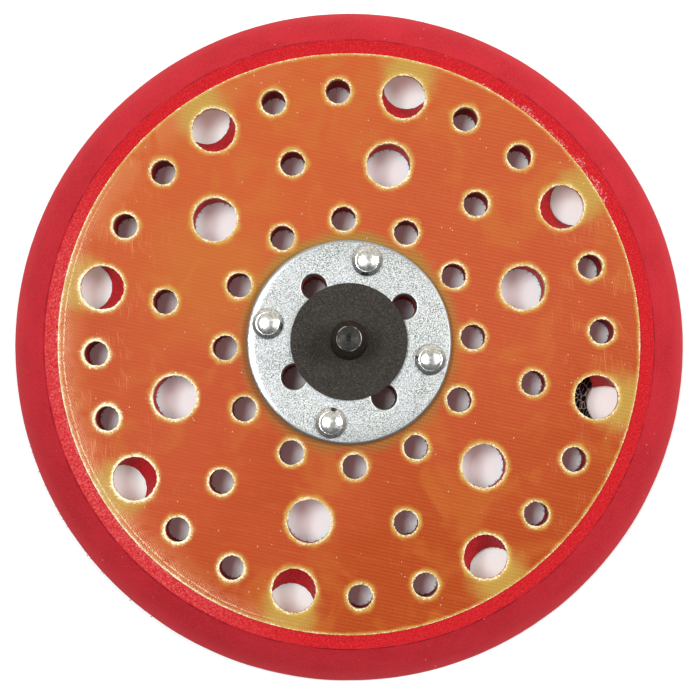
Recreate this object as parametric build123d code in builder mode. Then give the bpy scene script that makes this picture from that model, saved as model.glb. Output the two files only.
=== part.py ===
"""Backing pad of a random orbital sander: hook face, foam body, laminate plate, riveted hub and stud.

Millimetres. Z points up along the stud, and Z = 0 is the plane of the hook tips, which the pad lies on.
The large outer dust holes start on +X, and every hole sits at a multiple of 15 degrees.
"""

from build123d import *
import os

# The stack of layers, from the bottom up.
HOOK_FACE_THICKNESS = 1.9
FOAM_THICKNESS = 9.4
LAMINATE_THICKNESS = 2.0
BACKING_THICKNESS = 1.2
HUB_THICKNESS = 2.5
WASHER_THICKNESS = 1.2
STUD_LENGTH = 14.0
RIM_BELOW_LAMINATE = 0.3

# Diameters of the round pieces.
PAD_DIAMETER = 150.0
FOAM_RIM_DIAMETER = 133.4
LAMINATE_DIAMETER = 127.6
BACKING_DIAMETER = 46.4
HUB_DIAMETER = 44.5
WASHER_DIAMETER = 25.5
WASHER_BORE_DIAMETER = 8.1

# Foam side: an upright lip at the bottom, then a slope up to the rim.
LIP_HEIGHT = 1.5
LIP_ROUND = 1.2
BOTTOM_ROUND = 0.4
RIM_ROUND = 0.25

# Stud: 5/16 inch - 24 UNF, modelled at its major diameter. Its collar is pressed into the hub.
STUD_DIAMETER = 7.938
STUD_CHAMFER = 1.25
STUD_NECK_DIAMETER = 6.5
STUD_NECK_LENGTH = 1.25
STUD_COLLAR_DIAMETER = 9.2
STUD_HEAD_DIAMETER = 14.4
STUD_HEAD_GAP = 0.1

# Rivets: domed heads on the hub, tails set under the backing disc.
RIVET_RING = (18.1, 4, 45.0)
RIVET_SHANK_RADIUS = 2.0
RIVET_HEAD_RADIUS = 3.3
RIVET_HEAD_HEIGHT = 2.0
RIVET_HEAD_SKIRT = 0.35
RIVET_TAIL_RADIUS = 2.9
RIVET_TAIL_HEIGHT = 0.9

# Rings of dust holes, each as ring radius, number of holes and angle of the first one.
SMALL_HOLE_RADIUS = 2.7
LARGE_HOLE_RADIUS = 4.8
HUB_VENTS = (14.2, 4, 0.0)
SMALL_HOLE_RINGS = ((27.2, 12, 0.0), (41.3, 6, 15.0), (55.45, 8, 15.0), (55.45, 8, 30.0))
INNER_LARGE_RING = (40.0, 6, 45.0)
LAMINATE_OUTER_RING = (55.45, 8, 0.0)
FACE_OUTER_RING = (60.0, 8, 0.0)

# The outer channels slant from the laminate's holes out to the hook face's wider ones.
CHANNEL_MOUTH_RADIUS = 5.3
CHANNEL_TOP_RADIUS = 4.9
POCKET_RING_RADIUS = 58.7

# Edge finishes.
HUB_RIM_ROUND = 1.1
HUB_VENT_ROUND = 0.5
LAMINATE_EDGE_BREAK = 0.15

# Heights and radii worked out from the dimensions above.
foam_bottom = HOOK_FACE_THICKNESS
laminate_bottom = foam_bottom + FOAM_THICKNESS
laminate_top = laminate_bottom + LAMINATE_THICKNESS
rim_top = laminate_top - RIM_BELOW_LAMINATE
backing_bottom = laminate_bottom - BACKING_THICKNESS
tail_bottom = backing_bottom - RIVET_TAIL_HEIGHT
hub_top = laminate_top + HUB_THICKNESS
stud_top = hub_top + STUD_LENGTH
pad_radius = PAD_DIAMETER / 2
laminate_radius = LAMINATE_DIAMETER / 2
stud_radius = STUD_DIAMETER / 2
head_radius = STUD_HEAD_DIAMETER / 2
collar_radius = STUD_COLLAR_DIAMETER / 2


def ring_places(ring):
    """The places of one ring of holes or rivets."""
    ring_radius, count, start_angle = ring
    return PolarLocations(ring_radius, count, start_angle=start_angle)


def drill_ring(ring, hole_radius):
    """Drill one ring of round holes right through the piece being built."""
    with ring_places(ring):
        Hole(hole_radius)


def drill_straight_dust_holes():
    """Drill every dust hole that runs straight down through the layers under the hub."""
    drill_ring(HUB_VENTS, SMALL_HOLE_RADIUS)
    drill_ring(INNER_LARGE_RING, LARGE_HOLE_RADIUS)
    for ring in SMALL_HOLE_RINGS:
        drill_ring(ring, SMALL_HOLE_RADIUS)


def slanted_channel(top_ring_radius, angle):
    """A tapering channel from under the laminate down and outwards to the foam's lower face."""
    outwards = Vector(1, 0, 0).rotate(Axis.Z, angle)
    with BuildPart() as channel:
        with BuildSketch(Plane.XY.offset(foam_bottom)):
            with Locations(outwards * FACE_OUTER_RING[0]):
                Circle(CHANNEL_MOUTH_RADIUS)
        with BuildSketch(Plane.XY.offset(laminate_bottom)):
            with Locations(outwards * top_ring_radius):
                Circle(CHANNEL_TOP_RADIUS)
        loft()
    return channel.part


def save(piece, name):
    """Label a finished piece and write it as a STEP file."""
    piece.part.label = name
    export_step(piece.part, f"parts/{name}.step")


os.makedirs("parts", exist_ok=True)

# Hook face: the sheet of hook fastener that the abrasive disc presses onto.
with BuildPart() as hook_face:
    Cylinder(pad_radius, HOOK_FACE_THICKNESS, align=(Align.CENTER, Align.CENTER, Align.MIN))
    drill_straight_dust_holes()
    drill_ring(FACE_OUTER_RING, CHANNEL_MOUTH_RADIUS)
save(hook_face, "hook_face")

# Foam body: a revolved section whose rim stands round the laminate's edge.
outer_channels = [
    slanted_channel(top_ring_radius, index * 360 / FACE_OUTER_RING[1])
    for index in range(FACE_OUTER_RING[1])
    for top_ring_radius in (LAMINATE_OUTER_RING[0], POCKET_RING_RADIUS)
]
with BuildPart() as foam_body:
    with BuildSketch(Plane.XZ) as section:
        with BuildLine():
            Polyline(
                (0, foam_bottom),
                (pad_radius, foam_bottom),
                (pad_radius, foam_bottom + LIP_HEIGHT),
                (FOAM_RIM_DIAMETER / 2, rim_top),
                (laminate_radius, rim_top),
                (laminate_radius, laminate_bottom),
                (0, laminate_bottom),
                close=True,
            )
        make_face()
        fillet(section.vertices().group_by(Axis.X)[-1].sort_by(Axis.Y)[0], BOTTOM_ROUND)
        fillet(section.vertices().group_by(Axis.X)[-1].sort_by(Axis.Y)[-1], LIP_ROUND)
        fillet(section.vertices().group_by(Axis.Y)[-1].sort_by(Axis.X)[-1], RIM_ROUND)
    revolve(axis=Axis.Z)
    with BuildSketch(Plane.XY.offset(backing_bottom)):
        Circle(BACKING_DIAMETER / 2)
    extrude(amount=BACKING_THICKNESS, mode=Mode.SUBTRACT)
    with BuildSketch(Plane.XY.offset(tail_bottom)):
        with ring_places(RIVET_RING):
            Circle(RIVET_TAIL_RADIUS)
    extrude(amount=RIVET_TAIL_HEIGHT, mode=Mode.SUBTRACT)
    drill_straight_dust_holes()
    add(outer_channels, mode=Mode.SUBTRACT)
save(foam_body, "foam_body")

# Laminate plate: glass fibre laminate, with a clearance hole for the stud's head.
with BuildPart() as laminate_plate:
    with BuildSketch(Plane.XY.offset(laminate_bottom)):
        Circle(laminate_radius)
    extrude(amount=LAMINATE_THICKNESS)
    chamfer(laminate_plate.edges(), LAMINATE_EDGE_BREAK)
    Hole(head_radius + STUD_HEAD_GAP)
    drill_straight_dust_holes()
    drill_ring(LAMINATE_OUTER_RING, LARGE_HOLE_RADIUS)
    drill_ring(RIVET_RING, RIVET_SHANK_RADIUS)
save(laminate_plate, "laminate_plate")

# Backing disc: the steel disc under the laminate that the rivets and the stud's head pull on.
with BuildPart() as backing_disc:
    with BuildSketch(Plane.XY.offset(backing_bottom)):
        Circle(BACKING_DIAMETER / 2)
    extrude(amount=BACKING_THICKNESS)
    drill_ring(HUB_VENTS, SMALL_HOLE_RADIUS)
    drill_ring(RIVET_RING, RIVET_SHANK_RADIUS)
save(backing_disc, "backing_disc")

# Hub plate: pressed steel disc with a rolled rim and punched vents.
with BuildPart() as hub_plate:
    with BuildSketch(Plane.XY.offset(laminate_top)):
        Circle(HUB_DIAMETER / 2)
    extrude(amount=HUB_THICKNESS)
    fillet(hub_plate.faces().sort_by(Axis.Z)[-1].outer_wire().edges(), HUB_RIM_ROUND)
    drill_ring(HUB_VENTS, SMALL_HOLE_RADIUS)
    vent_mouths = hub_plate.faces().sort_by(Axis.Z)[-1].inner_wires()
    fillet(vent_mouths.edges(), HUB_VENT_ROUND)
    Hole(collar_radius)
    drill_ring(RIVET_RING, RIVET_SHANK_RADIUS)
save(hub_plate, "hub_plate")

# Drive stud: head under the hub, collar in the hub, undercut neck, then the threaded length.
with BuildPart() as drive_stud:
    with BuildSketch(Plane.XZ):
        with BuildLine():
            Polyline(
                (0, laminate_bottom),
                (head_radius, laminate_bottom),
                (head_radius, laminate_top),
                (collar_radius, laminate_top),
                (collar_radius, hub_top),
                (STUD_NECK_DIAMETER / 2, hub_top),
                (STUD_NECK_DIAMETER / 2, hub_top + STUD_NECK_LENGTH),
                (stud_radius, hub_top + STUD_NECK_LENGTH),
                (stud_radius, stud_top - STUD_CHAMFER),
                (stud_radius - STUD_CHAMFER, stud_top),
                (0, stud_top),
                close=True,
            )
        make_face()
    revolve(axis=Axis.Z)
save(drive_stud, "drive_stud")

# Rivets: one section, revolved and set round the hub.
with BuildPart() as rivet:
    with BuildSketch(Plane.XZ):
        with BuildLine():
            Polyline(
                (0, hub_top + RIVET_HEAD_HEIGHT),
                (0, tail_bottom),
                (RIVET_TAIL_RADIUS, tail_bottom),
                (RIVET_TAIL_RADIUS, backing_bottom),
                (RIVET_SHANK_RADIUS, backing_bottom),
                (RIVET_SHANK_RADIUS, hub_top),
                (RIVET_HEAD_RADIUS, hub_top),
                (RIVET_HEAD_RADIUS, hub_top + RIVET_HEAD_SKIRT),
            )
            TangentArc(
                (0, hub_top + RIVET_HEAD_HEIGHT),
                (RIVET_HEAD_RADIUS, hub_top + RIVET_HEAD_SKIRT),
                tangent=(1, 0),
            )
        make_face()
    revolve(axis=Axis.Z)
with BuildPart() as rivets:
    with ring_places(RIVET_RING):
        add(rivet.part)
save(rivets, "rivets")

# Spacer washer: loose on the stud, lying on the hub.
with BuildPart() as spacer_washer:
    with BuildSketch(Plane.XY.offset(hub_top)):
        Circle(WASHER_DIAMETER / 2)
        Circle(WASHER_BORE_DIAMETER / 2, mode=Mode.SUBTRACT)
    extrude(amount=WASHER_THICKNESS)
save(spacer_washer, "spacer_washer")
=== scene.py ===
"""Looks of the orbital sander backing pad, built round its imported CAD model.

Lengths are in millimetres unless a comment says otherwise. They turn into metres where a mesh
or the camera is made.
The photo's own axes are the model's, turned by PHOTO_TURN about Z.
"""

import random
from math import atan2, cos, degrees, hypot, pi, radians, sin, sqrt, tan, tau

import bmesh
import bpy
from mathutils import Matrix, Vector, noise
from mathutils.geometry import delaunay_2d_cdt


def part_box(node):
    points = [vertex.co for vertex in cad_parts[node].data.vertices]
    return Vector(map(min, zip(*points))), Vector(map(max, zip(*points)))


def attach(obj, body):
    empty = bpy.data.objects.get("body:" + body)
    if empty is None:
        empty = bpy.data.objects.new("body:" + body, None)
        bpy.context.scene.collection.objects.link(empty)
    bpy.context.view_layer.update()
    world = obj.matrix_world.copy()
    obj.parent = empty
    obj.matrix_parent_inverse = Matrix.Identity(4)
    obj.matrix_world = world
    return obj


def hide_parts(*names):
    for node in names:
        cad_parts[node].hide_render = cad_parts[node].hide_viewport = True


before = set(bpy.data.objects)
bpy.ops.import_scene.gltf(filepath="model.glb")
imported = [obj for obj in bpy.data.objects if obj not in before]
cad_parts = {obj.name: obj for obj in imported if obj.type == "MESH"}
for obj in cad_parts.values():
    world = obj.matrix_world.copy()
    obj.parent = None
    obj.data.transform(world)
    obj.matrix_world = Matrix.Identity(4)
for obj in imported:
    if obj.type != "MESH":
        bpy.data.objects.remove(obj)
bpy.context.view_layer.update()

MM = 0.001

# Heights and radii of the layers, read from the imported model.
plate_low, plate_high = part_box("laminate_plate")
disc_low, disc_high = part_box("backing_disc")
stud_low, stud_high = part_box("drive_stud")
foam_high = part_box("foam_body")[1]
HOOK_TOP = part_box("hook_face")[1].z / MM
PLATE_BOTTOM, PLATE_TOP = plate_low.z / MM, plate_high.z / MM
DISC_BOTTOM = disc_low.z / MM
HUB_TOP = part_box("hub_plate")[1].z / MM
STUD_BOTTOM, STUD_TOP = stud_low.z / MM, stud_high.z / MM
TAIL_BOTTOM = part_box("rivets")[0].z / MM
RIM_TOP = foam_high.z / MM
PAD_RADIUS = foam_high.x / MM
PLATE_RADIUS = plate_high.x / MM
DISC_RADIUS = disc_high.x / MM

# Radii of the holes in the laminate, and of the straight ones in foam and tape, which are a little wider.
SMALL, LARGE = 2.7, 4.8
SMALL_FOAM, LARGE_FOAM = 2.96, 5.12
RIVET_HOLE = 2.02

# Rings of holes: radius, how many, and the angle of the first.
SMALL_RINGS = ((27.2, 12, 0), (41.3, 6, 15), (55.45, 8, 15), (55.45, 8, 30))
INNER_LARGE = (40.0, 6, 45)
OUTER_LARGE = (55.45, 8, 0)
FACE_LARGE = (60.0, 8, 0)
VENTS = (14.2, 4, 0)
RIVETS = (18.1, 4, 45)

# The outer channels are slots at the plate, from OUTER_LARGE to POCKET_RING, and round at the hook face.
CHANNEL_TOP, CHANNEL_MOUTH = 4.9, 5.3
POCKET_RING = 58.7
TORN_CHANNEL = 7
FOAM_RIM = 66.7

# The photo's x axis in the model, the run of the weave, and the side of the photo with the most wear, which is
# also the side the left lamp lights.
PHOTO_TURN = -32.49
WEAVE_TURN = -PHOTO_TURN + 12.4
WORN_LIT_X, WORN_LIT_Y = -0.93, -0.37


def ring_spots(ring):
    """The middles of the holes on a ring."""
    radius, count, first = ring
    angles = [radians(first + k * 360 / count) for k in range(count)]
    return [(radius * cos(a), radius * sin(a)) for a in angles]


def circle(x, y, radius, count):
    return [(x + radius * cos(tau * k / count), y + radius * sin(tau * k / count)) for k in range(count)]


def ragged(x, y, radius, count, depth, grain):
    """A circle whose edge is frayed by depth at a scale of grain."""
    points = []
    for k in range(count):
        a = tau * k / count
        px, py = x + radius * cos(a), y + radius * sin(a)
        middling = noise.noise(Vector((px, py, radius)) / grain)
        fine = 0.6 * noise.noise(Vector((py, px, 7.0)) / (0.45 * grain))
        slow = noise.noise(Vector((px, py, 3.0)) / (4 * grain))
        r = radius + depth * (0.8 * (middling + fine) + 0.5 * slow)
        points.append((x + r * cos(a), y + r * sin(a)))
    return points


def is_inside(point, outline):
    """Whether the point is inside the closed outline."""
    x, y = point
    crossed = False
    for k, (bx, by) in enumerate(outline):
        ax, ay = outline[k - 1]
        if (ay > y) != (by > y) and x < (bx - ax) * (y - ay) / (by - ay) + ax:
            crossed = not crossed
    return crossed


class Shell:
    """A closed mesh made of loops of points, bands between two loops, and flat caps with holes."""

    def __init__(self):
        self.points, self.faces, self.marks = [], [], []

    def loop(self, outline, z, mark=0.0):
        """Adds an outline at a height and gives its points' numbers. Materials read the mark."""
        first = len(self.points)
        self.points += [(x, y, z) for x, y in outline]
        self.marks += [mark] * len(outline)
        return range(first, len(self.points))

    def band(self, a, b):
        n = len(a)
        self.faces += [(a[k], a[(k + 1) % n], b[(k + 1) % n], b[k]) for k in range(n)]

    def bands(self, loops):
        for a, b in zip(loops, loops[1:]):
            self.band(a, b)

    def fan(self, loop, z, mark=0.0):
        """Closes a loop with a point at its middle."""
        n = len(loop)
        x = sum(self.points[i][0] for i in loop) / n
        y = sum(self.points[i][1] for i in loop) / n
        self.points.append((x, y, z))
        self.marks.append(mark)
        middle = len(self.points) - 1
        self.faces += [(loop[k], loop[(k + 1) % n], middle) for k in range(n)]

    def cap(self, outer, holes=()):
        """Fills the flat between an outer loop and the loops of its holes with triangles."""
        loops = [outer, *holes]
        names = [i for loop in loops for i in loop]
        owner = [k for k, loop in enumerate(loops) for _ in loop]
        edges, first = [], 0
        for loop in loops:
            n = len(loop)
            edges += [(first + k, first + (k + 1) % n) for k in range(n)]
            first += n
        flat = [Vector(self.points[i][:2]) for i in names]
        made = delaunay_2d_cdt(flat, edges, [], 1, 1e-7)
        came_from = [origin[0] for origin in made[3]]
        outlines = [[self.points[i][:2] for i in loop] for loop in loops]
        for face in made[2]:
            corners = [came_from[i] for i in face]
            owners = {owner[i] for i in corners}
            if len(owners) == 1:
                k = owners.pop()
                centre = [sum(flat[i][axis] for i in corners) / 3 for axis in (0, 1)]
                if k and is_inside(centre, outlines[k]):
                    continue
            self.faces.append(tuple(names[i] for i in corners))

    def build(self, name, sharp=35):
        mesh = bpy.data.meshes.new(name)
        mesh.from_pydata([(x * MM, y * MM, z * MM) for x, y, z in self.points], [], self.faces)
        mark = mesh.attributes.new("mark", "FLOAT", "POINT")
        mark.data.foreach_set("value", self.marks)
        bm = bmesh.new()
        bm.from_mesh(mesh)
        bmesh.ops.recalc_face_normals(bm, faces=bm.faces)
        bm.to_mesh(mesh)
        bm.free()
        mesh.shade_smooth()
        mesh.set_sharp_from_angle(angle=radians(sharp))
        piece = bpy.data.objects.new(name, mesh)
        bpy.context.collection.objects.link(piece)
        return piece


class Finish:
    """A node material. Each method adds a node and gives its output."""

    def __init__(self, name, **sockets):
        self.material = bpy.data.materials.new(name)
        self.material.use_nodes = True
        self.tree = self.material.node_tree
        self.shader = self.tree.nodes["Principled BSDF"]
        for socket, value in sockets.items():
            self.set(self.shader.inputs[socket.replace("_", " ")], value)
        place = self.tree.nodes.new("ShaderNodeTexCoord").outputs["Object"]
        self.at = self.node("Mapping", Vector=place, Scale=(1 / MM,) * 3).outputs[0]

    def set(self, socket, value):
        if isinstance(value, bpy.types.NodeSocket):
            self.tree.links.new(value, socket)
        else:
            socket.default_value = value

    def node(self, kind, settings=None, **sockets):
        made = self.tree.nodes.new("ShaderNode" + kind)
        for setting, value in (settings or {}).items():
            setattr(made, setting, value)
        for socket, value in sockets.items():
            self.set(made.inputs[socket.replace("_", " ")], value)
        return made

    def math(self, operation, *values, clamp=False):
        made = self.tree.nodes.new("ShaderNodeMath")
        made.operation, made.use_clamp = operation, clamp
        for socket, value in zip(made.inputs, values):
            self.set(socket, value)
        return made.outputs[0]

    def plus(self, a, b):
        return self.math("ADD", a, b)

    def times(self, a, b):
        return self.math("MULTIPLY", a, b)

    def scaled(self, value, factor, offset):
        return self.math("MULTIPLY_ADD", value, factor, offset)

    def distance(self, x, y):
        return self.math("SQRT", self.plus(self.times(x, x), self.times(y, y)))

    def nudged(self, value, noise_share, spread):
        """The value moved up or down by noise from 0 to 1, over a range of spread in all."""
        return self.plus(value, self.scaled(noise_share, spread, -spread / 2))

    def turned(self, angle, stretch=(1, 1, 1)):
        """The place on the surface, turned about Z by degrees and scaled."""
        spun = self.node("Mapping", Vector=self.at, Rotation=(0, 0, radians(angle))).outputs[0]
        return self.node("Mapping", Vector=spun, Scale=stretch).outputs[0]

    def grain(self, size, detail=2, rough=0.5, at=None, twist=0.0):
        """Noise from 0 to 1 with features about this many millimetres across."""
        return self.node("TexNoise", Vector=at or self.at, Scale=1 / size, Detail=detail, Roughness=rough,
                         Distortion=twist).outputs["Fac"]

    def cells(self, size, feature="F1", at=None):
        made = self.node("TexVoronoi", {"feature": feature}, Vector=at or self.at, Scale=1 / size)
        return made.outputs["Distance"]

    def step(self, value, low, high, to_low=0.0, to_high=1.0):
        """Eases from to_low to to_high as the value goes from low to high."""
        return self.node("MapRange", {"interpolation_type": "SMOOTHSTEP"}, Value=value,
                         From_Min=low, From_Max=high, To_Min=to_low, To_Max=to_high).outputs[0]

    def mix(self, share, a, b):
        """From colour a to colour b as the share goes from 0 to 1."""
        made = self.node("Mix", {"data_type": "RGBA"})
        self.set(made.inputs[0], share)
        self.set(made.inputs[6], colour(a))
        self.set(made.inputs[7], colour(b))
        return made.outputs[2]

    def mark(self):
        """The mark given to the points of a Shell."""
        return self.node("Attribute", {"attribute_name": "mark"}).outputs["Fac"]

    def xyz(self, at=None):
        return self.node("SeparateXYZ", Vector=at or self.at).outputs

    def bump(self, height, depth, under=None):
        """A bump of this many millimetres for a height from 0 to 1, on top of another bump if one is given."""
        sockets = {"Height": height, "Distance": depth * MM}
        if under:
            sockets["Normal"] = under
        return self.node("Bump", **sockets).outputs[0]

    def wear(self, **sockets):
        """Sets sockets of the shader."""
        for socket, value in sockets.items():
            self.set(self.shader.inputs[socket.replace("_", " ")], colour(value))

    def on(self, piece):
        piece.data.materials.clear()
        piece.data.materials.append(self.material)


def colour(value):
    """A colour given as three numbers gets its alpha; anything else is unchanged."""
    if isinstance(value, (tuple, list)) and len(value) == 3:
        return (*value, 1.0)
    return value


# ---------------------------------------------------------------- camera, light and floor

# The photo's camera looks down on the pad, a little tilted. LOOK_AT is in the photo's own axes.
TILT = 2.564
DISTANCE = 446.5
LOOK_AT = (0.22, -1.08, 0.0)
LENS_MM = 101.78

turn = Matrix.Rotation(radians(PHOTO_TURN), 4, "Z")
camera = bpy.data.objects.new("camera", bpy.data.cameras.new("camera"))
bpy.context.collection.objects.link(camera)
camera.data.sensor_width = 36.0
camera.data.lens = LENS_MM
camera.data.clip_start = 0.01
camera.data.clip_end = 10.0
tilt = Matrix.Rotation(radians(TILT), 4, "X")
back = Matrix.Translation((0, 0, DISTANCE * MM))
camera.matrix_world = turn @ Matrix.Translation(Vector(LOOK_AT) * MM) @ tilt @ back
bpy.context.scene.camera = camera
bpy.context.scene.view_settings.view_transform = "Standard"


def soft_light(name, spot, size, watts, tint):
    """A rectangular lamp at a spot in the photo's own axes, aimed at the pad. Metres and watts."""
    lamp = bpy.data.lights.new(name, "AREA")
    lamp.shape = "RECTANGLE"
    lamp.size, lamp.size_y = size
    lamp.energy = watts
    lamp.color = tint
    holder = bpy.data.objects.new(name, lamp)
    bpy.context.collection.objects.link(holder)
    aim = (-Vector(spot)).to_track_quat("-Z", "Y").to_matrix().to_4x4()
    holder.matrix_world = turn @ Matrix.Translation(spot) @ aim


soft_light("left_softbox", (-0.265, 0.056, 0.92), (0.28, 0.25), 6.05, (0.99, 0.985, 1.0))
soft_light("right_softbox", (0.47, 0.076, 0.86), (0.28, 0.25), 5.45, (1.0, 0.985, 0.97))

world = bpy.data.worlds.new("studio")
world.use_nodes = True
room = world.node_tree
room_place = room.nodes.new("ShaderNodeTexCoord").outputs["Generated"]
room_turn = room.nodes.new("ShaderNodeMapping")
room_turn.inputs["Rotation"].default_value = (0.0, 0.0, radians(-PHOTO_TURN))
room_split = room.nodes.new("ShaderNodeSeparateXYZ")
room_fit = room.nodes.new("ShaderNodeMapRange")
room_fit.inputs["From Min"].default_value = -1.0

# The room goes from dark at the bottom of the photo to bright and warm at its top.
room_tones = room.nodes.new("ShaderNodeValToRGB")
room_tones.color_ramp.elements[0].position = 0.0
room_tones.color_ramp.elements[0].color = (0.060, 0.070, 0.085, 1.0)
room_tones.color_ramp.elements[1].position = 0.90
room_tones.color_ramp.elements[1].color = (1.22, 1.145, 1.01, 1.0)
for share, tint in ((0.03, (0.170, 0.185, 0.200)), (0.12, (0.220, 0.230, 0.240)), (0.50, (0.44, 0.43, 0.40))):
    room_tones.color_ramp.elements.new(share).color = colour(tint)
room.links.new(room_place, room_turn.inputs["Vector"])
room.links.new(room_turn.outputs[0], room_split.inputs[0])
room.links.new(room_split.outputs["Y"], room_fit.inputs["Value"])
room.links.new(room_fit.outputs[0], room_tones.inputs[0])
room.links.new(room_tones.outputs[0], room.nodes["Background"].inputs["Color"])
room.nodes["Background"].inputs["Strength"].default_value = 0.8
bpy.context.scene.world = world

FLOOR_RADIUS, FLOOR_TOP, FLOOR_BOTTOM = 3000, -0.02, -4.0

floor = Shell()
floor_top = floor.loop(circle(0, 0, FLOOR_RADIUS, 96), FLOOR_TOP)
floor_bottom = floor.loop(circle(0, 0, FLOOR_RADIUS, 96), FLOOR_BOTTOM)
floor.band(floor_top, floor_bottom)
floor.fan(floor_top, FLOOR_TOP)
floor.fan(floor_bottom, FLOOR_BOTTOM)
floor = floor.build("floor")

paper = Finish("white_paper", Roughness=0.9)
paper_x, paper_y, _ = paper.xyz()
paper_far = paper.distance(paper_x, paper_y)
outside = paper.step(paper_far, 69.5, 73.5)
# Under the pad the floor is painted blue-green against the red light the foam throws on it; outside it is
# grey, and its glow makes it evenly white.
paper.wear(Base_Color=paper.mix(outside, (0.86, 0.94, 0.94), (0.60, 0.60, 0.60)))
# A ring of painted warm light under the outer part of the pad.
warm_light_ring = paper.math("SUBTRACT", paper.step(paper_far, 46.0, 52.0), outside)

# Painted light: the floor under the pad glows in place of the light thrown back by the foam, pale under the
# large holes, dimmer and pinker under the small ones, warmer under the outer ring of the pad and weakest under
# the hub.
paper_bearing = paper.math("ARCTAN2", paper_y, paper_x)
sixths = paper.math("COSINE", paper.scaled(paper_bearing, 6.0, -radians(6 * INNER_LARGE[2])))
eighths = paper.math("COSINE", paper.times(paper_bearing, 8.0))
ring_inner = paper.step(paper.math("ABSOLUTE", paper.plus(paper_far, -41.0)), 7.5, 6.0)
ring_outer = paper.step(paper.math("ABSOLUTE", paper.plus(paper_far, -58.5)), 10.0, 8.5)
painted_light_under_large = paper.plus(paper.times(paper.step(sixths, 0.0, 0.5), ring_inner),
                         paper.times(paper.step(eighths, 0.1, 0.6), ring_outer))
pale_light_and_backdrop = paper.math("MAXIMUM", painted_light_under_large, outside)
pale_light_tint = paper.mix(warm_light_ring, (1.0, 1.0, 1.0), (1.0, 0.90, 0.80))
paper.wear(Emission_Color=paper.mix(pale_light_and_backdrop, (1.0, 0.52, 0.54), pale_light_tint))
glow = paper.scaled(painted_light_under_large, 0.045, paper.step(paper_far, 17.0, 23.0, 0.016, 0.092))
glow = paper.plus(glow, paper.times(paper.times(warm_light_ring, painted_light_under_large), 0.05))
paper.wear(Emission_Strength=paper.scaled(outside, 0.33, glow))
paper.on(floor)


# ---------------------------------------------------------------- laminate plate

# Rings at a cut edge: distance from the cut, how frayed it looks from 0 to 1, and how ragged it is.
HOLE_FRINGE = ((1.9, 0.0, 0.0), (1.15, 0.24, 0.0), (0.65, 0.52, 0.04), (0.30, 0.82, 0.10), (0.0, 1.0, 0.22))
RIM_FRINGE = ((1.3, 0.0, 0.0), (0.85, 0.15, 0.0), (0.45, 0.48, 0.04), (0.13, 0.80, 0.06), (0.03, 0.95, 0.06))
RIM_COUNT = 1150
STUD_SEAT = 7.3


def frayed_hole(shell, x, y, radius):
    """Cuts a frayed hole through the plate and gives its loops at the top and bottom faces."""
    count = 2 * round(radius * 14)
    loops = [shell.loop(ragged(x, y, radius + out, count, depth, 0.55), PLATE_TOP - 0.04 * mark ** 4, mark)
             for out, mark, depth in HOLE_FRINGE]
    loops += [shell.loop(ragged(x, y, radius + 0.02, count, 0.06, 0.8), PLATE_TOP - drop, 0.9)
              for drop in (0.22, 1.0)]
    loops.append(shell.loop(circle(x, y, radius, count), PLATE_BOTTOM, 0.9))
    shell.bands(loops)
    return loops[0], loops[-1]


def clean_hole(shell, x, y, radius):
    """Cuts a plain hole through the plate, where the hub hides it."""
    count = 2 * round(radius * 8)
    top = shell.loop(circle(x, y, radius, count), PLATE_TOP)
    bottom = shell.loop(circle(x, y, radius, count), PLATE_BOTTOM)
    shell.band(top, bottom)
    return top, bottom


plate = Shell()
rim_loops = []
for inset, mark, depth in RIM_FRINGE:
    outline = ragged(0, 0, PLATE_RADIUS - inset, RIM_COUNT, depth, 0.7)
    rim_loops.append(plate.loop(outline, PLATE_TOP - 0.05 * mark ** 4, mark))
rim_bottom = plate.loop(circle(0, 0, PLATE_RADIUS - 0.05, RIM_COUNT), PLATE_BOTTOM, 0.9)
plate.bands([*rim_loops, rim_bottom])
plate_holes = [frayed_hole(plate, x, y, SMALL) for ring in SMALL_RINGS for x, y in ring_spots(ring)]
for ring in (INNER_LARGE, OUTER_LARGE):
    plate_holes += [frayed_hole(plate, x, y, LARGE) for x, y in ring_spots(ring)]
plate_holes += [clean_hole(plate, x, y, SMALL) for x, y in ring_spots(VENTS)]
plate_holes += [clean_hole(plate, x, y, RIVET_HOLE) for x, y in ring_spots(RIVETS)]
plate_holes.append(clean_hole(plate, 0, 0, STUD_SEAT))
plate.cap(rim_loops[0], [top for top, _ in plate_holes])
plate.cap(rim_bottom, [bottom for _, bottom in plate_holes])
plate = plate.build("laminate_plate_detail", 30)
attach(plate, "pad")
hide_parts("laminate_plate")

amber = Finish("amber_glass_laminate", Roughness=0.5)
weave_x, weave_y, _ = amber.xyz(amber.turned(WEAVE_TURN))
wander = amber.grain(14.0, 1)
weft = amber.math("SINE", amber.plus(amber.times(weave_y, tau / 0.78), wander))
warp = amber.math("SINE", amber.plus(amber.times(weave_x, tau / 0.58), wander))
cloth = amber.scaled(weft, 0.34, amber.scaled(warp, 0.24, 0.5))
cloth = amber.nudged(cloth, amber.grain(0.5, 2, 0.6), 0.3)

# Slow changes of tone: yellower at the upper left of the photo, redder and darker below.
plate_x, plate_y, _ = amber.xyz(amber.turned(-PHOTO_TURN))
drift = amber.scaled(plate_x, -0.45, amber.times(plate_y, 0.9))
drift = amber.nudged(drift, amber.grain(24.0, 2, 0.5, twist=0.4), 70.0)
amber.wear(Specular_IOR_Level=amber.step(drift, -62.0, 10.0, 0.045, 0.09))
tone = amber.mix(amber.step(drift, -62.0, 0.0), (0.300, 0.0345, 0.0025), (0.362, 0.046, 0.0105))
tone = amber.mix(amber.step(drift, 0.0, 66.0), tone, (0.400, 0.068, 0.0115))

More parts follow.
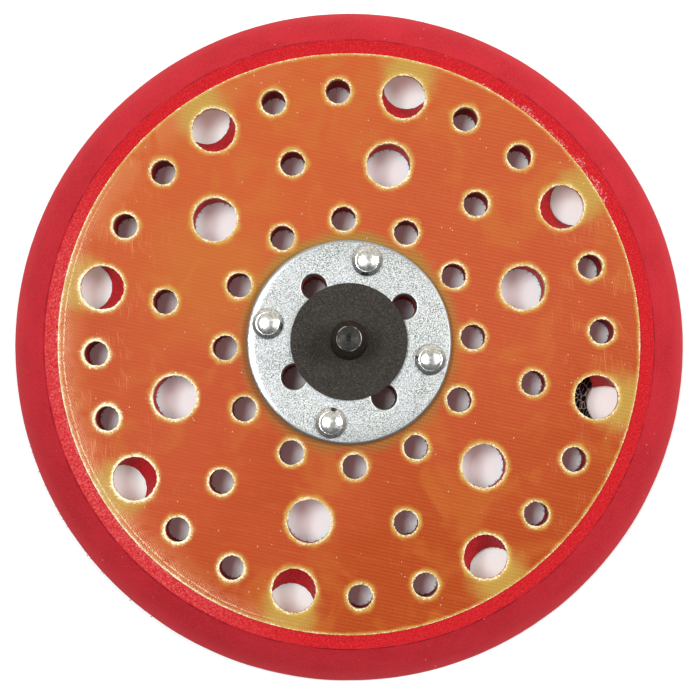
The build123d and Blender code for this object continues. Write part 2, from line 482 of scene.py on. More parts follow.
# A pale haze at the left edge, an ochre stain at the upper left, and streaks along the weave.
x, y, _ = amber.xyz()
far = amber.distance(x, y)
haze = amber.times(amber.step(far, 56.0, 62.0), amber.step(plate_x, 5.0, -48.0, 0.0, 0.45))
haze = amber.times(haze, amber.step(amber.grain(7.0, 3, 0.6, twist=0.8), 0.34, 0.60))
tone = amber.mix(haze, tone, (0.47, 0.165, 0.060))
stain = amber.distance(amber.plus(plate_x, 30.0), amber.plus(plate_y, -15.0))
stain = amber.step(amber.nudged(stain, amber.grain(9.0, 2), 16.0), 22.0, 6.0, 0.0, 0.55)
ochre = amber.plus(stain, amber.step(amber.grain(12.0, 2, 0.5, twist=0.9), 0.50, 0.68, 0.0, 0.40))
tone = amber.mix(ochre, tone, (0.385, 0.105, 0.012))
streaks = amber.grain(0.8, 3, 0.6, at=amber.turned(WEAVE_TURN, (0.12, 1.0, 1.0)))
tone = amber.mix(amber.step(streaks, 0.50, 0.74, 0.0, 0.16), tone, (0.47, 0.11, 0.030))

# Yellow-olive round each outer hole, and a darker olive band along the edge of the hub that is partly the
# backing disc seen through the glass and partly painted shade from the hub.
bearing = amber.math("ARCTAN2", y, x)
folded = amber.math("FLOORED_MODULO", amber.plus(bearing, tau / 16), tau / 8)
folded = amber.math("SUBTRACT", folded, tau / 16)
pocket_x = amber.math("SUBTRACT", amber.times(far, amber.math("COSINE", folded)), 60.3)
pocket_y = amber.times(far, amber.math("SINE", folded))
pocket = amber.nudged(amber.distance(pocket_x, pocket_y), amber.grain(3.5, 2), 3.2)
pocket = amber.step(pocket, 8.4, 2.8)
tone = amber.mix(amber.times(pocket, 0.88), tone, (0.345, 0.220, 0.036))
disc_and_shade_halo = amber.step(amber.nudged(far, amber.grain(6.0, 2), 3.0), 25.8, 22.4)
disc_and_shade_tone = amber.mix(amber.step(plate_y, 0.0, 20.0), (0.225, 0.080, 0.0115), (0.205, 0.120, 0.0115))
tone = amber.mix(amber.times(disc_and_shade_halo, 0.85), tone, disc_and_shade_tone)

# Frayed glass at the cut edges: a soft yellow glow and a hairy cream fringe, longer on the worn side, which
# the left lamp also lights: the longer fringe there is partly wear and partly painted light.
fray = amber.mark()
worn_and_lit_side = amber.step(amber.scaled(plate_x, WORN_LIT_X, amber.times(plate_y, WORN_LIT_Y)), 28.0, 56.0)
fray_glow = amber.nudged(fray, amber.grain(2.6, 2), 0.7)
tone = amber.mix(amber.step(fray_glow, 0.10, 0.80, 0.0, 0.78), tone, (0.45, 0.285, 0.050))
weave_share = amber.step(plate_x, -34.0, 30.0, 0.046, 0.076)
weave_share = amber.scaled(amber.math("MAXIMUM", pocket, disc_and_shade_halo), 0.11, weave_share)
tone = amber.mix(amber.times(cloth, weave_share), tone, (0.66, 0.42, 0.16))
hairs = amber.grain(0.30, 3, 0.8)
hairy = amber.nudged(amber.nudged(fray, hairs, 2.2), amber.grain(3.2, 2), 0.7)
hairy = amber.plus(hairy, amber.scaled(worn_and_lit_side, 0.24, -0.09))
tone = amber.mix(amber.step(hairy, 0.60, 1.10), tone, (0.82, 0.76, 0.55))

# Dashes of bare glass at the worn edge, a thin pale line inside it, and dark bits in the fringe.
dashes = amber.times(amber.step(amber.times(weft, warp), 0.05, 0.55), amber.step(hairs, 0.42, 0.56))
edge_band = amber.step(amber.nudged(far, amber.grain(2.2, 3, 0.6), 2.4), 60.0, 62.4)
edge_band = amber.times(amber.times(edge_band, worn_and_lit_side), dashes)
tone = amber.mix(amber.times(edge_band, 0.75), tone, (0.74, 0.45, 0.33))
inner_line = amber.plus(far, amber.scaled(amber.grain(9.0, 2), 0.9, -63.0))
inner_line = amber.step(amber.math("ABSOLUTE", inner_line), 0.24, 0.06)
inner_line = amber.times(inner_line, amber.step(hairs, 0.44, 0.56))
tone = amber.mix(amber.times(inner_line, amber.times(worn_and_lit_side, 0.75)), tone, (0.78, 0.64, 0.40))
bits = amber.times(amber.step(amber.cells(0.9), 0.16, 0.08), amber.step(fray, 0.35, 0.6))
tone = amber.mix(amber.times(bits, 0.9), tone, (0.10, 0.055, 0.022))

# Fine handling scratches, most of them near the left and right edges: heading, size, shift and strength.
SCRATCHES = ((4.0, 0.17, 0.0, 0.50), (-7.0, 0.20, 40.0, 0.45), (-33.0, 0.20, 90.0, 0.30))
handled = amber.plus(amber.step(plate_x, -36.0, -54.0, 0.08, 0.9), amber.step(plate_x, 36.0, 56.0, 0.0, 0.45))
for heading, size, shift, strength in SCRATCHES:
    along = amber.turned(-PHOTO_TURN + heading, (1.0, 0.022, 1.0))
    along = amber.node("Mapping", Vector=along, Location=(shift, 0, 0)).outputs[0]
    scratch = amber.times(amber.step(amber.grain(size, 2, 0.5, at=along), 0.60, 0.68),
                          amber.step(amber.grain(6.0 + size, 2), 0.48, 0.60))
    tone = amber.mix(amber.times(scratch, amber.times(handled, strength)), tone, (0.62, 0.27, 0.13))
specks = amber.times(amber.step(amber.cells(1.9), 0.085, 0.05), amber.step(amber.grain(4.0, 1), 0.50, 0.60))
tone = amber.mix(amber.times(specks, 0.75), tone, (0.68, 0.53, 0.38))
amber.wear(Base_Color=tone)
relief = amber.plus(amber.times(cloth, 0.5), amber.grain(0.3, 2))
amber.wear(Normal=amber.bump(relief, 0.012))
amber.on(plate)


# ---------------------------------------------------------------- foam body

AROUND = 1440
RIM_ROWS = 16
SLOPE_ROWS = 15
DISC_FLOOR = DISC_BOTTOM - 0.01
TAIL_POCKET = 2.95

# The skin's lower edge, from the hook face up: inset from the pad's radius, and height over the hook face.
SKIN_EDGE = ((0.55, 0.0), (0.28, 0.10), (0.18, 0.38), (0.16, 0.75), (0.20, 1.15), (0.33, 1.52), (0.57, 1.90))

# The torn channel's flap of foam hangs between these angles in degrees. Its free edge is a tilted arch.
FLAP_FROM, FLAP_TO, FLAP_TILT = 44, 119, 13


def foam_wall(shell, x, y, radius, top, mark=0.42):
    """Cuts a rough-walled hole from a height down to the hook face, and gives its top and bottom loops."""
    count = 2 * round(radius * 12)
    rows = 7
    loops = [shell.loop(circle(x, y, radius, count), top, mark)]
    for row in range(1, rows):
        z = top + (HOOK_TOP - top) * row / rows
        loops.append(shell.loop(ragged(x, y, radius - 0.04, count, 0.10, 1.1 + 0.07 * row), z, mark))
    loops.append(shell.loop(circle(x, y, radius, count), HOOK_TOP, mark))
    shell.bands(loops)
    return loops[0], loops[-1]


def channel_outline(angle, share, torn):
    """The outline of a slanted channel, a share of the way down from the plate to the hook face."""
    near = OUTER_LARGE[0] + (FACE_LARGE[0] - OUTER_LARGE[0]) * share
    away = POCKET_RING + (FACE_LARGE[0] - POCKET_RING) * share
    radius = CHANNEL_TOP + (CHANNEL_MOUTH - CHANNEL_TOP) * share
    if torn:
        near = away = OUTER_LARGE[0] + 1.45 * share
    middle, half = (near + away) / 2, (away - near) / 2
    points = []
    for k in range(120):
        a = tau * k / 120
        reach = half * abs(cos(a)) + sqrt(radius * radius - (half * sin(a)) ** 2)
        if torn and FLAP_FROM < degrees(a) < FLAP_TO:
            flap = share * min(1.0, (degrees(a) - FLAP_FROM) / 4, (FLAP_TO - degrees(a)) / 2)
            slope = a - radians(FLAP_TILT)
            arch = 3.05 - 0.07 * (2.9 / tan(slope) - 1.7) ** 2
            reach += (min(reach, arch / sin(slope)) - reach) * flap
        u, v = middle + reach * cos(a), reach * sin(a)
        points.append((u * cos(angle) - v * sin(angle), u * sin(angle) + v * cos(angle)))
    return points


def channel(shell, index):
    """Cuts one outer channel from the plate down to the hook face, and gives its top and bottom loops."""
    angle = radians(index * 45)
    rows = 8
    loops = []
    for row in range(rows + 1):
        share = row / rows
        z = PLATE_BOTTOM + (HOOK_TOP - PLATE_BOTTOM) * share
        outline = channel_outline(angle, share, index == TORN_CHANNEL)
        if 0 < row < rows:
            outline = [(x + 0.09 * noise.noise(Vector((x, y, z)) / 0.6),
                        y + 0.09 * noise.noise(Vector((y, x, z)) / 0.6)) for x, y in outline]
        loops.append(shell.loop(outline, z, 0.5))
    shell.bands(loops)
    return loops[0], loops[-1]


def skin_outline(radius, z):
    """A ring of the moulded skin, which swells a little but stays within the pad's radius."""
    outline = []
    for k in range(AROUND):
        a = tau * k / AROUND
        spot = Vector((radius * cos(a), radius * sin(a), z))
        swell = 0.055 * noise.noise(spot / 9.0) + 0.02 * noise.noise(spot / 2.2)
        r = min(radius + swell, PAD_RADIUS)
        outline.append((r * cos(a), r * sin(a)))
    return outline


def rim_row(shell, row):
    """A pitted ring of the open-cell rim. Row 0 is at the skin and the last row at the laminate."""
    radius = FOAM_RIM - 0.06 + (PLATE_RADIUS + 0.02 - FOAM_RIM + 0.06) * row / RIM_ROWS
    between = 0 < row < RIM_ROWS
    outline = []
    for k in range(AROUND):
        a = tau * (k + 0.5 * (row % 2)) / AROUND
        spot = Vector((radius * cos(a), radius * sin(a), 4.0))
        wobble = 0.09 * noise.noise(spot / 0.5) if between else 0.0
        outline.append(((radius + wobble) * cos(a), (radius + wobble) * sin(a)))
    made = shell.loop(outline, RIM_TOP, 1.0)
    for i in made:
        px, py, _ = shell.points[i]
        pits = noise.noise(Vector((px, py, 1.0)) / 0.42) + 0.7 * noise.noise(Vector((px, py, 9.0)) / 0.9)
        low = 0.0 if between else 0.06
        shell.points[i] = (px, py, min(RIM_TOP, RIM_TOP - 0.09 - low + 0.10 * pits))
    return made


skin_profile = [(PAD_RADIUS - inset, HOOK_TOP + rise) for inset, rise in SKIN_EDGE]
slope_low, slope_high = skin_profile[-1], (FOAM_RIM + 0.18, RIM_TOP - 0.22)
for row in range(1, SLOPE_ROWS):
    share = row / SLOPE_ROWS
    bow = 0.10 * sin(pi * share)
    skin_profile.append((slope_low[0] + (slope_high[0] - slope_low[0]) * share + bow,
                         slope_low[1] + (slope_high[1] - slope_low[1]) * share + bow))
skin_profile += [slope_high, (FOAM_RIM + 0.04, RIM_TOP - 0.07)]

foam = Shell()
skin_loops = [foam.loop(skin_outline(radius, z), z) for radius, z in skin_profile]
skin_loops += [rim_row(foam, row) for row in range(RIM_ROWS + 1)]
seat_edge = foam.loop(circle(0, 0, PLATE_RADIUS + 0.01, AROUND), PLATE_BOTTOM, 0.5)
foam.bands([*skin_loops, seat_edge])
walls = [foam_wall(foam, x, y, SMALL_FOAM, PLATE_BOTTOM) for ring in SMALL_RINGS for x, y in ring_spots(ring)]
walls += [foam_wall(foam, x, y, LARGE_FOAM, PLATE_BOTTOM, 0.5) for x, y in ring_spots(INNER_LARGE)]
walls += [channel(foam, index) for index in range(OUTER_LARGE[1])]
seat_holes = [top for top, _ in walls]
base_holes = [bottom for _, bottom in walls]

# The seat of the backing disc, with its vents and the pockets for the rivets' tails.
disc_edge = foam.loop(circle(0, 0, DISC_RADIUS + 0.02, 240), PLATE_BOTTOM, 0.5)
disc_floor = foam.loop(circle(0, 0, DISC_RADIUS + 0.02, 240), DISC_FLOOR, 0.5)
foam.band(disc_edge, disc_floor)
seat_holes.append(disc_edge)
disc_holes = []
for x, y in ring_spots(VENTS):
    top, bottom = foam_wall(foam, x, y, SMALL, DISC_FLOOR)
    disc_holes.append(top)
    base_holes.append(bottom)
for x, y in ring_spots(RIVETS):
    pocket_edge = foam.loop(circle(x, y, TAIL_POCKET, 40), DISC_FLOOR, 0.5)
    pocket_floor = foam.loop(circle(x, y, TAIL_POCKET, 40), TAIL_BOTTOM - 0.05, 0.5)
    foam.band(pocket_edge, pocket_floor)
    foam.fan(pocket_floor, TAIL_BOTTOM - 0.05, 0.5)
    disc_holes.append(pocket_edge)
foam.cap(seat_edge, seat_holes)
foam.cap(disc_floor, disc_holes)
foam.cap(skin_loops[0], base_holes)
foam = foam.build("foam_body_detail", 50)
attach(foam, "pad")
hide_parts("foam_body")

red = Finish("red_foam_skin_and_cells")
x, y, z = red.xyz()
far = red.distance(x, y)

# The mark is 0 on the skin, about a half on cut walls and 1 on the rim.
kind = red.mark()
on_rim = red.step(kind, 0.6, 0.95)
on_wall = red.math("SUBTRACT", red.step(kind, 0.05, 0.45), on_rim, clamp=True)
red.wear(Specular_IOR_Level=red.scaled(on_wall, -0.02, 0.03))

# Skin: mottled and paler towards its lower edge, with a dark crease at the rim and a few flecks.
skin = red.mix(red.step(red.grain(11.0, 3, 0.6), 0.3, 0.7), (0.352, 0.0066, 0.0134), (0.426, 0.0118, 0.0210))
skin = red.mix(red.step(red.grain(0.34, 3, 0.7), 0.36, 0.70, 0.0, 0.5), skin, (0.56, 0.040, 0.056))
skin = red.mix(red.step(z, 7.4, 3.0, 0.0, 0.5), skin, (0.50, 0.045, 0.055))
crease = red.step(red.math("ABSOLUTE", red.math("SUBTRACT", far, 66.95)), 0.24, 0.04)
crease = red.times(crease, red.step(red.grain(3.0, 3, 0.6), 0.36, 0.60, 0.15, 0.75))
skin = red.mix(crease, skin, (0.13, 0.002, 0.006))
flecks = red.times(red.step(red.cells(2.6), 0.055, 0.025), red.step(red.grain(9.0, 1), 0.5, 0.6))
skin = red.mix(flecks, skin, (0.06, 0.004, 0.008))
flecks = red.times(red.step(red.cells(3.4), 0.07, 0.035), red.step(red.grain(6.0, 1), 0.5, 0.6))
skin = red.mix(red.times(flecks, 0.8), skin, (0.60, 0.26, 0.27))

# Rim: open cells, paler on the worn side, with dust next to the laminate and most of it at one corner.
# Painted light on the open cells: the pale pink specks are painted highlights on the cell walls and the darker
# grain is painted shade in the pits.
foam_grain = red.grain(0.36, 4, 0.7)
open_cells = red.mix(red.step(foam_grain, 0.36, 0.60), (0.33, 0.007, 0.010), (0.48, 0.016, 0.022))
open_cells = red.mix(red.step(foam_grain, 0.58, 0.78, 0.0, 0.75), open_cells, (0.60, 0.11, 0.12))
rim_x, rim_y, _ = red.xyz(red.turned(-PHOTO_TURN))
worn_rim = red.step(red.scaled(rim_x, WORN_LIT_X, red.times(rim_y, WORN_LIT_Y)), 30.0, 60.0)
pale_cells = red.times(red.step(red.grain(0.42, 4, 0.8), 0.42, 0.68), worn_rim)
open_cells = red.mix(red.times(pale_cells, 0.42), open_cells, (0.72, 0.23, 0.23))
dusty = red.nudged(red.math("SUBTRACT", far, 63.1), red.grain(2.4, 3, 0.6), -2.4)
dusty = red.math("SUBTRACT", dusty, red.times(worn_rim, 0.9))
corner = red.step(red.scaled(rim_x, 0.669, red.times(rim_y, 0.743)), 58.0, 62.5, 0.0, 2.0)
corner = red.times(corner, red.step(red.grain(5.0, 2), 0.36, 0.60, 0.2, 1.0))
dusty = red.step(red.math("SUBTRACT", dusty, corner), 0.30, -0.25)
dusty = red.times(dusty, red.step(red.grain(0.4, 3, 0.7), 0.50, 0.66))
open_cells = red.mix(red.times(dusty, 0.7), open_cells, (0.66, 0.46, 0.43))

# Walls: cut cells, with painted shade making the walls of the small holes darker.
cut = red.mix(red.step(red.grain(0.45, 4, 0.8), 0.36, 0.64), (0.40, 0.006, 0.012), (0.80, 0.026, 0.038))
cut = red.mix(red.step(kind, 0.49, 0.43, 0.0, 0.55), cut, (0.26, 0.003, 0.009))
red.wear(Base_Color=red.mix(on_wall, red.mix(on_rim, skin, open_cells), cut))
red.wear(Roughness=red.plus(red.scaled(on_rim, 0.28, 0.47), red.times(on_wall, -0.06)))
fine_bumps = red.bump(red.grain(0.22, 2, 0.5), 0.010)
red.wear(Normal=red.bump(red.grain(1.3, 2, 0.5), 0.020, under=fine_bumps))
red.on(foam)


# ---------------------------------------------------------------- hook face

SHEET_BOTTOM = 1.35
HOOK_PITCH = 1.5
HOOK_EDGE = PAD_RADIUS - 0.62
SHEET_COUNT = 900

# A hook from root to tip: how far forward, the share of its height it has come down, and its thickness.
HOOK_PATH = ((0.0, 0.0, 0.17), (0.02, 0.42, 0.13), (0.10, 0.78, 0.115), (0.34, 1.0, 0.10), (0.56, 0.86, 0.07))

face_spots = [(x, y, SMALL_FOAM) for ring in SMALL_RINGS for x, y in ring_spots(ring)]
face_spots += [(x, y, SMALL) for x, y in ring_spots(VENTS)]
face_spots += [(x, y, LARGE_FOAM) for x, y in ring_spots(INNER_LARGE)]
face_spots += [(x, y, CHANNEL_MOUTH) for x, y in ring_spots(FACE_LARGE)]

sheet = Shell()
sheet_loops = [sheet.loop(ragged(0, 0, PAD_RADIUS - inset, SHEET_COUNT, 0.05, 0.9), z)
               for inset, z in ((0.42, HOOK_TOP), (0.28, 1.64), (0.42, SHEET_BOTTOM))]
sheet.bands(sheet_loops)
sheet_tops, sheet_bottoms = [], []
for x, y, radius in face_spots:
    count = 2 * round(radius * 11)
    loops = [sheet.loop(ragged(x, y, radius - 0.03, count, 0.13, 0.6), z, mark)
             for z, mark in ((HOOK_TOP, 0.5), (1.62, 1.0), (SHEET_BOTTOM, 0.5))]
    sheet.bands(loops)
    sheet_tops.append(loops[0])
    sheet_bottoms.append(loops[-1])
sheet.cap(sheet_loops[0], sheet_tops)
sheet.cap(sheet_loops[-1], sheet_bottoms)
sheet = sheet.build("hook_tape_sheet", 40)
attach(sheet, "pad")
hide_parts("hook_face")


def hook(shell, x, y, lean, tall, reach=0.8):
    """One small moulded hook: a tapering stem that bends over at its tip."""
    across = Vector((-sin(lean), cos(lean), 0))
    ahead = Vector((cos(lean), sin(lean), 0))
    corners = [tau * k / 4 + pi / 4 for k in range(4)]
    loops = []
    for forward, down, thick in HOOK_PATH:
        centre = Vector((x, y, SHEET_BOTTOM + 0.1)) + ahead * (forward * reach) - Vector((0, 0, down * tall))
        tangent = Vector((0, 0, -1)) if down < 0.9 and forward < 0.3 else ahead
        side = across.cross(tangent)
        first = len(shell.points)
        for a in corners:
            spot = centre + across * (thick * cos(a)) + side * (thick * sin(a))
            shell.points.append((spot.x, spot.y, max(spot.z, 0.0)))
            shell.marks.append(down)
        loops.append(range(first, first + len(corners)))
    shell.bands(loops)
    shell.faces.append(tuple(loops[0]))
    shell.faces.append(tuple(loops[-1]))


def is_open(x, y):
    """Whether a hook fits here, clear of the outline and the holes."""
    if hypot(x, y) > PAD_RADIUS - 0.55:
        return False
    return all(hypot(x - hx, y - hy) > radius + 0.22 for hx, hy, radius in face_spots)


# Rows of hooks over the face, then a ring round each hole, a ring at the outline, and a few that lean
# out past it at the lower left of the photo.
seed = random.Random(5)
half = Shell(), Shell()
rows = int(PAD_RADIUS / HOOK_PITCH) + 2
for row in range(-rows, rows + 1):
    for column in range(-rows, rows + 1):
        x = HOOK_PITCH * (column + 0.5 * (row % 2)) + seed.uniform(-0.16, 0.16)
        y = HOOK_PITCH * row * 0.98 + seed.uniform(-0.16, 0.16)
        lean = (0 if row % 2 else pi) + seed.uniform(-0.5, 0.5)
        tall = 1.37 + seed.uniform(-0.05, 0.04)
        if is_open(x, y):
            hook(half[0] if row % 2 else half[1], x, y, lean, tall)
for x, y, radius in face_spots:
    around = round(radius * 3.4)
    for k in range(around):
        a = tau * k / around + seed.uniform(-0.2, 0.2)
        lean = a + pi + seed.uniform(-0.9, 0.9)
        tall = 1.30 + seed.uniform(-0.10, 0.06)
        hook(half[k % 2], x + (radius + 0.12) * cos(a), y + (radius + 0.12) * sin(a), lean, tall)
for k in range(300):
    a = tau * k / 300 + seed.uniform(-0.006, 0.006)
    lean = a + seed.uniform(-1.2, 1.2) + pi / 2
    tall = 1.34 + seed.uniform(-0.08, 0.05)
    hook(half[k % 2], HOOK_EDGE * cos(a), HOOK_EDGE * sin(a), lean, tall)
for k in range(46):
    a = radians(196.0 + 0.85 * k + seed.uniform(-0.3, 0.3) + PHOTO_TURN)
    if seed.random() < 0.6:
        lean = a + seed.uniform(-0.4, 0.4)
        hook(half[k % 2], HOOK_EDGE * cos(a), HOOK_EDGE * sin(a), lean, 1.20, seed.uniform(1.5, 2.1))
hooks = [shell.build(f"hook_field_{k + 1}", 60) for k, shell in enumerate(half)]
for piece in hooks:
    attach(piece, "pad")
    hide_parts("hook_face")

black = Finish("black_hook_tape", Sheen_Roughness=0.5)
knit_x, knit_y, knit_z = black.xyz()
knit = black.times(black.math("SINE", black.times(knit_x, tau / 0.6)),
                   black.math("SINE", black.times(knit_y, tau / 0.45)))
knit = black.scaled(knit, 0.5, 0.5)
thread = black.mix(knit, (0.010, 0.010, 0.011), (0.030, 0.030, 0.031))
thread = black.mix(black.step(black.grain(0.25, 3, 0.7), 0.55, 0.75, 0.0, 0.5), thread, (0.09, 0.088, 0.085))

# The backing's upper side shows as a loose pale mesh through the torn channel, on a ground darker than the
# rest of the tape: painted shade at the bottom of the channel.
backing = black.step(knit_z, 1.86, 1.89)
mesh_at = black.turned(-PHOTO_TURN + 10.0, (1.0, 0.5, 1.0))
loose = black.step(black.cells(0.85, "DISTANCE_TO_EDGE", at=mesh_at), 0.085, 0.02)
loose = black.times(loose, black.step(black.grain(0.35, 3, 0.8), 0.40, 0.60, 0.25, 1.0))
thread = black.mix(backing, thread, black.mix(loose, (0.002, 0.002, 0.002), (0.42, 0.36, 0.33)))
black.wear(Base_Color=thread)
black.wear(Roughness=black.step(black.grain(0.8, 2), 0.3, 0.7, 0.42, 0.62))
black.wear(Specular_IOR_Level=black.scaled(backing, -0.45, 0.5))
black.wear(Sheen_Weight=black.scaled(backing, -0.2, 0.2))
black.wear(Normal=black.bump(knit, 0.05))
for piece in (sheet, *hooks):
    black.on(piece)


# ---------------------------------------------------------------- hub and backing disc

HUB_RADIUS = 22.42
COLLAR_BORE = 4.62

# The hub's edge from the bottom up: share of the way in over the rounding, height over the hub, and mark.
HUB_PROFILE = ((0.09, -2.50, 1.0), (0.015, -2.40, 1.0), (0.0, -2.10, 1.0), (0.0, -0.78, 1.0),
               (0.03, -0.50, 1.0), (0.09, -0.34, 1.0), (0.20, -0.22, 1.0), (0.42, -0.13, 1.0),
               (0.68, -0.055, 0.6), (1.0, 0.0, 0.0))

# The vents' rounded edge from the top down: distance outside the vent, height over the hub, and mark.
VENT_PROFILE = ((0.50, 0.0, 0.0), (0.32, -0.02, 0.6), (0.16, -0.07, 1.0), (0.05, -0.17, 1.0),
                (0.0, -0.36, 1.0), (0.0, -2.5, 0.6))


def hub_edge(share):
    """An outline a share of the way in over the rounded edge, which is broader on one side."""
    points = []
    for k in range(360):
        a = radians(k)
        broad = 0.66 + 1.36 * max(0.0, cos(a - radians(178.0 + PHOTO_TURN))) ** 1.6
        r = HUB_RADIUS - broad * share
        points.append((r * cos(a), r * sin(a)))
    return points


hub = Shell()
hub_loops = [hub.loop(hub_edge(share), HUB_TOP + rise, mark) for share, rise, mark in HUB_PROFILE]
hub.bands(hub_loops)
hub_tops, hub_bottoms = [], []
for x, y in ring_spots(VENTS):
    loops = [hub.loop(circle(x, y, SMALL + out, 72), HUB_TOP + rise, mark)
             for out, rise, mark in VENT_PROFILE]
    hub.bands(loops)
    hub_tops.append(loops[0])
    hub_bottoms.append(loops[-1])
for x, y, radius in [(*spot, RIVET_HOLE) for spot in ring_spots(RIVETS)] + [(0, 0, COLLAR_BORE)]:
    loops = [hub.loop(circle(x, y, radius, 60), z) for z in (HUB_TOP, PLATE_TOP)]
    hub.bands(loops)
    hub_tops.append(loops[0])
    hub_bottoms.append(loops[-1])
hub.cap(hub_loops[-1], hub_tops)
hub.cap(hub_loops[0], hub_bottoms)
hub = hub.build("hub_plate_detail", 40)
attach(hub, "pad")
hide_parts("hub_plate")

zinc = Finish("zinc_plated_hub", Metallic=1.0)
spangle = zinc.grain(0.25, 4, 0.85)
rolled = zinc.mark()
plating = zinc.mix(zinc.step(spangle, 0.42, 0.57), (0.038, 0.052, 0.059), (0.46, 0.478, 0.464))
plating = zinc.mix(zinc.step(zinc.grain(6.0, 3, 0.6), 0.35, 0.75, 0.0, 0.4), plating, (0.33, 0.35, 0.37))
plating = zinc.mix(zinc.step(zinc.grain(1.8, 3, 0.6), 0.56, 0.72, 0.0, 0.35), plating, (0.31, 0.28, 0.245))
# Painted highlight: the rolled edges of the rim and the vents are painted lighter, and they are smoother too.
plating = zinc.mix(zinc.times(rolled, 0.45), plating, (0.58, 0.60, 0.61))
zinc.wear(Base_Color=plating)
zinc.wear(Roughness=zinc.plus(zinc.step(spangle, 0.3, 0.7, 0.56, 0.44), zinc.times(rolled, -0.20)))
zinc.wear(Normal=zinc.bump(spangle, 0.036, under=zinc.bump(zinc.grain(1.1, 2), 0.012)))
zinc.on(hub)

plain = Finish("plain_steel_disc", Metallic=1.0)
scale_marks = plain.grain(0.6, 4, 0.7)
plain.wear(Base_Color=plain.mix(scale_marks, (0.22, 0.225, 0.23), (0.42, 0.42, 0.43)))
plain.wear(Roughness=plain.step(scale_marks, 0.3, 0.7, 0.42, 0.58))
plain.on(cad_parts["backing_disc"])


# ---------------------------------------------------------------- rivets

# Radii and heights of a rivet, up from its tail and then up from the hub: a low dome inside a pressed bead.
TAIL_PROFILE = ((2.0, 0.0), (2.6, 0.25), (2.85, 0.88), (2.0, 0.90), (2.0, HUB_TOP - TAIL_BOTTOM))
HEAD_PROFILE = ((3.34, 0.0), (3.38, 0.22), (3.38, 0.84), (3.35, 0.95), (3.26, 1.05), (3.06, 1.18),
                (2.80, 1.345), (2.62, 1.460), (2.54, 1.508), (2.49, 1.522), (2.43, 1.516), (2.38, 1.524),
                (2.20, 1.610), (1.94, 1.700), (1.66, 1.775), (1.36, 1.833), (1.06, 1.877), (0.76, 1.909),
                (0.47, 1.929), (0.20, 1.939))


def dented(spot, x, y, reach, height):
    """A point of the rivet head at x, y, moved by small dents and the facets left by the press."""
    px, py, pz = spot
    dent = noise.noise(Vector((px, py, 2.0)) / 1.1) + 0.5 * noise.noise(Vector((px, py, 6.0)) / 0.55)
    rise = 0.004 * dent * min(1.0, height / 0.5)
    if 2.55 < reach < 3.3:
        a = atan2(py - y, px - x)
        rise += 0.036 * sin(9 * a + 5 * noise.noise(Vector((2 * cos(a), 2 * sin(a), x + y))))
    spread = 1 + 0.004 * noise.noise(Vector((px, py, pz)) / 0.9)
    return x + (px - x) * spread, y + (py - y) * spread, pz + rise


rivets = Shell()
for x, y in ring_spots(RIVETS):
    loops = [rivets.loop(circle(x, y, reach, 72), TAIL_BOTTOM + height) for reach, height in TAIL_PROFILE]
    for reach, height in HEAD_PROFILE:
        made = rivets.loop(circle(x, y, reach, 72), HUB_TOP + height)
        for i in made:
            rivets.points[i] = dented(rivets.points[i], x, y, reach, height)
        loops.append(made)
    rivets.bands(loops)
    rivets.fan(loops[0], TAIL_BOTTOM)
    rivets.fan(loops[-1], HUB_TOP + 1.945)
rivets = rivets.build("rivet_set_detail", 40)
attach(rivets, "pad")
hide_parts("rivets")

bright = Finish("bright_rivet_steel", Metallic=1.0)
brushed = bright.grain(0.5, 3, 0.6)
bright.wear(Base_Color=bright.mix(bright.step(brushed, 0.35, 0.7), (0.50, 0.51, 0.50), (0.80, 0.80, 0.78)))
bright.wear(Roughness=bright.step(bright.grain(0.9, 3), 0.3, 0.7, 0.16, 0.25))
bright.wear(Normal=bright.bump(brushed, 0.012))
bright.on(rivets)


# ---------------------------------------------------------------- drive stud

PITCH = 25.4 / 24
MAJOR = 3.969
NECK = 3.25
THREAD_DEPTH = 0.61
NECK_TOP = HUB_TOP + 1.25
CHAMFER = 1.36
STUD_COUNT = 72

# Radii and heights of the head, the collar and the neck, from the bottom up.
STUD_PROFILE = ((7.0, STUD_BOTTOM), (7.2, STUD_BOTTOM + 0.2), (7.2, PLATE_TOP - 0.02),
                (4.6, PLATE_TOP - 0.02), (4.6, HUB_TOP - 0.1), (4.5, HUB_TOP),
                (NECK, HUB_TOP), (NECK, NECK_TOP))

# The end, with its centre dimple: radius, depth below the end, and mark, which is over 1 on the worn edge,
# where bare steel carries a painted highlight.
END_PROFILE = ((2.73, 0.12, 1.0), (2.69, 0.08, 2.0), (2.64, 0.035, 2.0), (2.59, 0.01, 1.8), (2.53, 0.0, 1.0),
               (2.33, 0.03, 1.0), (1.6, 0.05, 1.0), (0.62, 0.06, 1.0), (0.40, 0.20, 1.0), (0.15, 0.36, 1.0))


def thread_radius(z, angle):
    """The radius of the right-handed thread's flank at a height and an angle."""
    turn_share = (z / PITCH - angle / tau) % 1.0
    ridge = abs(turn_share - 0.5) * 2
    flank = min(max((ridge - 0.10) / 0.74, 0.0), 1.0)
    run_in = min(max((z - NECK_TOP) / 0.9, 0.0), 1.0)
    radius = MAJOR - 0.02 - THREAD_DEPTH * flank
    radius = NECK + (radius - NECK) * run_in
    top_cone = MAJOR - max(0.0, z - (STUD_TOP - CHAMFER))
    return min(radius, top_cone)


def thread_outline(z):
    angles = [tau * k / STUD_COUNT for k in range(STUD_COUNT)]
    return [(thread_radius(z, a) * cos(a), thread_radius(z, a) * sin(a)) for a in angles]


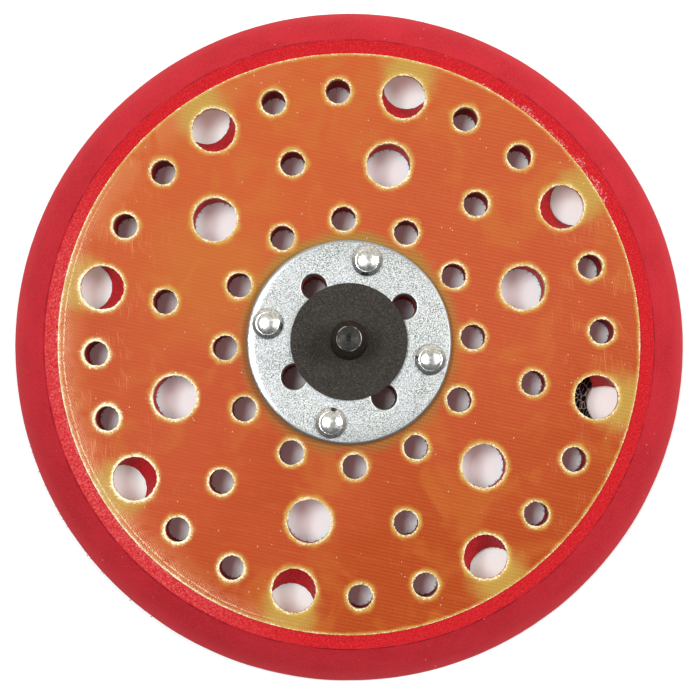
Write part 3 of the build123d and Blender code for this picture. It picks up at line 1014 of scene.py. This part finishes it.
stud = Shell()
stud_loops = [stud.loop(circle(0, 0, radius, STUD_COUNT), z) for radius, z in STUD_PROFILE]
rows = round((STUD_TOP - NECK_TOP) / PITCH * 14)
for row in range(1, rows):
    z = NECK_TOP + (STUD_TOP - NECK_TOP) * row / rows
    stud_loops.append(stud.loop(thread_outline(z), z, 0.0 if z < STUD_TOP - 1.0 else 0.4))
stud_loops += [stud.loop(circle(0, 0, radius, STUD_COUNT), STUD_TOP - drop, mark)
               for radius, drop, mark in END_PROFILE]
stud.bands(stud_loops)
stud.fan(stud_loops[0], STUD_BOTTOM)
stud.fan(stud_loops[-1], STUD_TOP - 0.38, 1.0)
stud = stud.build("drive_stud_detail", 32)
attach(stud, "pad")
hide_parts("drive_stud")

dark = Finish("black_oxide_and_bare_end", Specular_IOR_Level=0.25)
x, y, _ = dark.xyz()
far = dark.distance(x, y)
oxide = dark.mix(dark.step(dark.grain(0.8, 4, 0.7), 0.35, 0.7), (0.003, 0.002, 0.0015), (0.016, 0.010, 0.007))
chips = dark.times(dark.step(dark.cells(0.55), 0.16, 0.08), 0.35)
oxide = dark.mix(chips, oxide, (0.20, 0.17, 0.13))

# The bare end: turning marks and bright arcs round the axis.
steel = dark.mix(dark.step(dark.grain(0.5, 4, 0.7), 0.3, 0.75), (0.004, 0.004, 0.004), (0.024, 0.024, 0.022))
bearing = dark.math("ARCTAN2", y, x)
round_axis = dark.node("CombineXYZ", X=far, Y=dark.times(bearing, 0.7)).outputs[0]
arcs = dark.step(dark.grain(0.30, 3, 0.7, at=round_axis), 0.52, 0.70)
steel = dark.mix(dark.times(arcs, 0.5), steel, (0.075, 0.072, 0.066))
turning = dark.plus(dark.times(far, tau / 0.30), dark.times(dark.grain(0.5, 2), 4.0))
turning = dark.math("SINE", turning)
steel = dark.mix(dark.step(turning, 0.2, 0.9, 0.0, 0.35), steel, (0.042, 0.042, 0.038))
bare = dark.step(dark.mark(), 0.3, 0.9)
# The worn edge: patches of bare steel round the rim, painted brighter as a highlight.
worn_edge_and_highlight = dark.step(dark.grain(1.6, 3, 0.6), 0.44, 0.60, 0.04, 0.9)
worn_edge_and_highlight = dark.times(dark.step(dark.mark(), 1.3, 1.9), worn_edge_and_highlight)
dark.wear(Base_Color=dark.mix(worn_edge_and_highlight, dark.mix(bare, oxide, steel), (0.46, 0.40, 0.33)))
dark.wear(Metallic=dark.math("MAXIMUM", dark.scaled(bare, 0.35, 0.25), worn_edge_and_highlight))
dark.wear(Roughness=dark.step(dark.grain(0.7, 3, 0.6), 0.3, 0.7, 0.30, 0.44))
dark.wear(Normal=dark.bump(turning, 0.012, under=dark.bump(dark.grain(0.3, 3, 0.6), 0.015)))
dark.on(stud)


# ---------------------------------------------------------------- spacer washer

fibre = Finish("dark_fibre_washer", Specular_IOR_Level=0.3)
grit = fibre.grain(0.30, 4, 0.8)
fibres = fibre.mix(fibre.step(grit, 0.38, 0.62), (0.005, 0.004, 0.003), (0.040, 0.0345, 0.028))
fibres = fibre.mix(fibre.step(fibre.grain(5.0, 3, 0.6), 0.4, 0.7, 0.0, 0.35), fibres, (0.032, 0.0275, 0.022))
fibres = fibre.mix(fibre.step(grit, 0.58, 0.70, 0.0, 0.8), fibres, (0.15, 0.135, 0.11))
fibre.wear(Base_Color=fibres, Roughness=fibre.step(grit, 0.3, 0.7, 0.72, 0.88))
fibre.wear(Normal=fibre.bump(grit, 0.03))
fibre.on(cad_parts["spacer_washer"])
